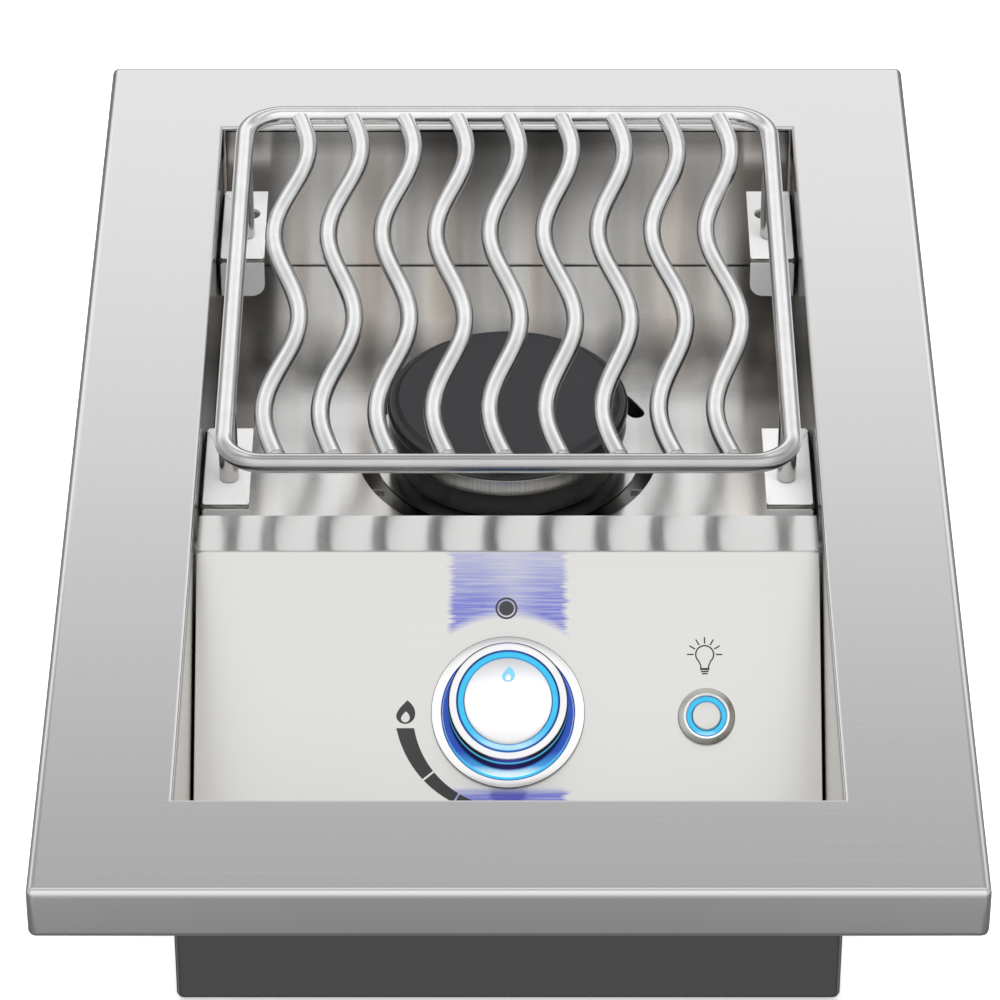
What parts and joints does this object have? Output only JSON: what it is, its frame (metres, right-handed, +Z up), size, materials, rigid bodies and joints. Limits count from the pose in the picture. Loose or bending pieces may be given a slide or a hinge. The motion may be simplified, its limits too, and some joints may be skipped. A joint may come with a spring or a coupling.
{
  "type": "built in side burner",
  "caption": "Drop-in gas side burner: a steel trim frame and box, a lift-off wave grate over a round capped burner, and a sloping panel with a lit control dial and a lit light switch.",
  "frame": {"origin": "on the casing's underside, in the middle of the trim frame's outline", "axes": "+X to the right as the user faces the dial, +Y to the back along the trim frame's long side, +Z up"},
  "size_m": [0.3556, 0.5646, 0.1165],
  "materials": {
    "trim_steel": "brushed stainless steel, grain from left to right",
    "casing_steel": "dark brushed steel sheet",
    "panel_steel": "pale brushed stainless steel, grain from left to right",
    "deck_steel": "bright brushed stainless steel",
    "bracket_steel": "bright folded steel sheet",
    "rod_steel": "satin polished steel rod",
    "fastener_steel": "plain steel",
    "black_enamel": "black enamel, satin on top",
    "burner_alloy": "machined cast alloy",
    "brass": "plain machined brass",
    "gas_pipe": "drawn steel tube",
    "bezel_chrome": "polished chrome",
    "knob_silver": "satin silver",
    "switch_steel": "turned steel with a rounded flange",
    "blue_light": "lit translucent ring",
    "ceramic": "white electrical ceramic",
    "black_plastic": "matte moulded plastic",
    "lead_sleeve": "silicone sleeve"
  },
  "bodies": {
    "box": {"trim_frame": "trim_steel", "casing": "casing_steel", "control_panel": "panel_steel", "burner_deck": "deck_steel", "panel_screw_left": "fastener_steel", "panel_screw_right": "fastener_steel", "grate_bracket_front_left": "bracket_steel", "grate_bracket_front_right": "bracket_steel", "grate_bracket_rear_left": "bracket_steel", "grate_bracket_rear_right": "bracket_steel", "burner_head": "burner_alloy", "burner_body": "burner_alloy", "venturi_tube": "fastener_steel", "orifice": "brass", "valve_body": "brass", "gas_pipe": "gas_pipe", "inlet_fitting": "brass", "inlet_nut": "brass", "valve_screw_left": "fastener_steel", "valve_screw_right": "fastener_steel", "knob_bezel": "bezel_chrome", "bezel_light_ring": "blue_light", "switch_housing": "switch_steel", "switch_light_ring": "blue_light", "switch_nut": "fastener_steel", "electrode_insulator": "ceramic", "electrode_rod": "fastener_steel", "electrode_clip": "fastener_steel", "igniter_lead": "lead_sleeve", "spark_module": "black_plastic", "dial_light_lead": "lead_sleeve", "switch_lead": "lead_sleeve"},
    "grate": {"grate_ring": "rod_steel", "grate_leg_front_left": "rod_steel", "grate_leg_front_right": "rod_steel", "grate_leg_rear_left": "rod_steel", "grate_leg_rear_right": "rod_steel", "wave_bar_1": "rod_steel", "wave_bar_2": "rod_steel", "wave_bar_3": "rod_steel", "wave_bar_4": "rod_steel", "wave_bar_5": "rod_steel", "wave_bar_6": "rod_steel", "wave_bar_7": "rod_steel", "wave_bar_8": "rod_steel", "wave_bar_9": "rod_steel"},
    "cap": {"burner_cap": "black_enamel"},
    "shutter": {"air_shutter": "fastener_steel"},
    "valve_core": {"valve_rotor": "brass"},
    "knob": {"valve_stem": "fastener_steel", "knob_body": "knob_silver", "knob_light_ring": "blue_light", "knob_face": "knob_silver"},
    "light_button": {"switch_button": "knob_silver"}
  },
  "joints": [
    {"name": "grate_lift", "type": "slide", "parent": "box", "child": "grate", "axis": [0, 0, 1], "range_m": [0, 0.08]},
    {"name": "cap_lift", "type": "slide", "parent": "box", "child": "cap", "axis": [0, 0, 1], "range_m": [0, 0.045]},
    {"name": "shutter_turn", "type": "hinge", "parent": "box", "child": "shutter", "pos_m": [0, -0.0388, 0.0132], "axis": [0, 1, 0], "range_deg": [0, 60]},
    {"name": "dial_turn", "type": "hinge", "parent": "box", "child": "valve_core", "pos_m": [0, -0.10099, 0.03663], "axis": [0, -0.6561, 0.7547], "range_deg": [0, 210]},
    {"name": "dial_push", "type": "slide", "parent": "valve_core", "child": "knob", "axis": [0, 0.6561, -0.7547], "range_m": [0, 0.0028], "stiffness_N_per_m": 1500, "springref_m": -0.002},
    {"name": "switch_push", "type": "slide", "parent": "box", "child": "light_button", "axis": [0, 0.6561, -0.7547], "range_m": [0, 0.0015], "stiffness_N_per_m": 1200, "springref_m": -0.001}
  ]
}
